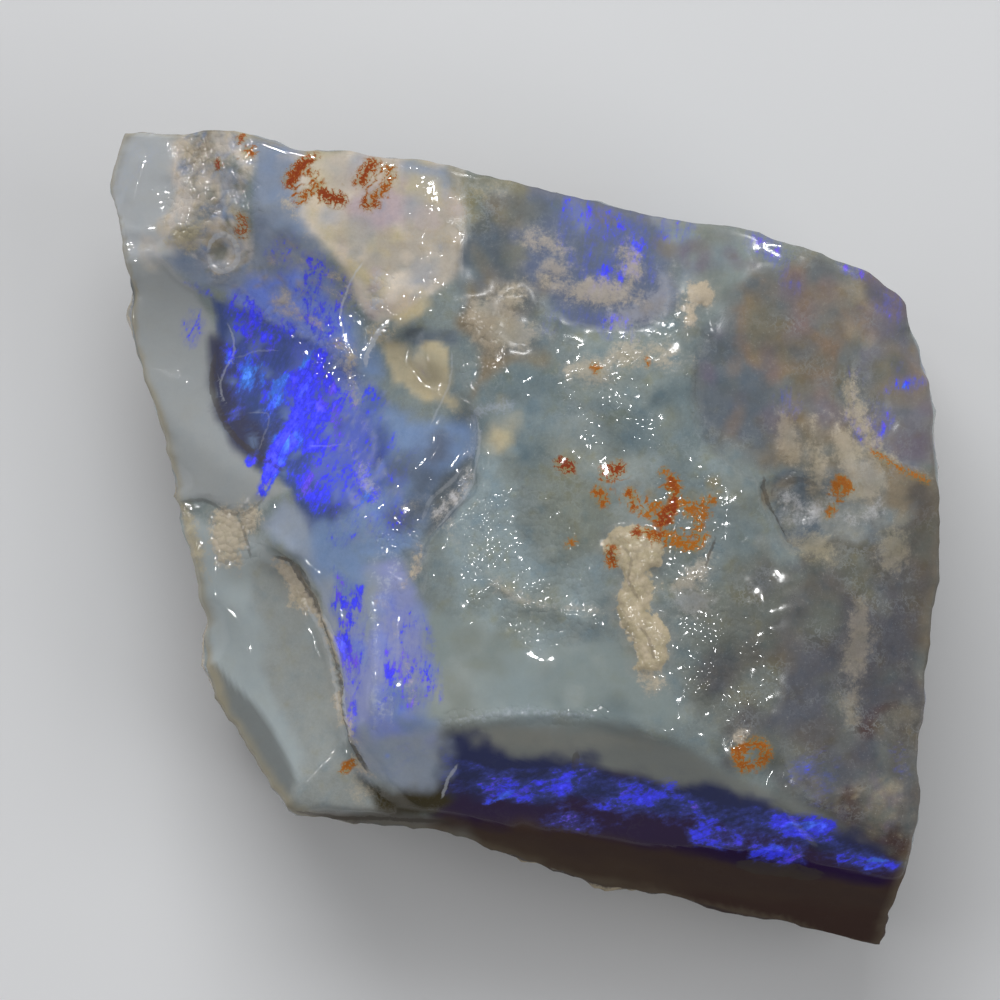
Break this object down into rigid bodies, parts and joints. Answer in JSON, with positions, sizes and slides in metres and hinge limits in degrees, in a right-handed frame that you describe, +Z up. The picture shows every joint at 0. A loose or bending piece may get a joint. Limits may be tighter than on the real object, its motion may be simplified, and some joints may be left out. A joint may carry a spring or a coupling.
{
  "type": "rough opal",
  "caption": "Broken lump of rough grey potch opal with blue fire in a scoop and along its front edge, lying on its back on a flat patch.",
  "frame": {"origin": "middle of the stone's plan, on the surface that it rests on", "axes": "+Z up, out of the fired face; +X to the right and +Y away, as the face is seen from above"},
  "size_m": [0.042, 0.041, 0.0176],
  "materials": {
    "opal": "glossy where it broke cleanly, duller where there is clay, wet-looking"
  },
  "bodies": {
    "root": {"rough_opal": "opal"}
  },
  "joints": []
}
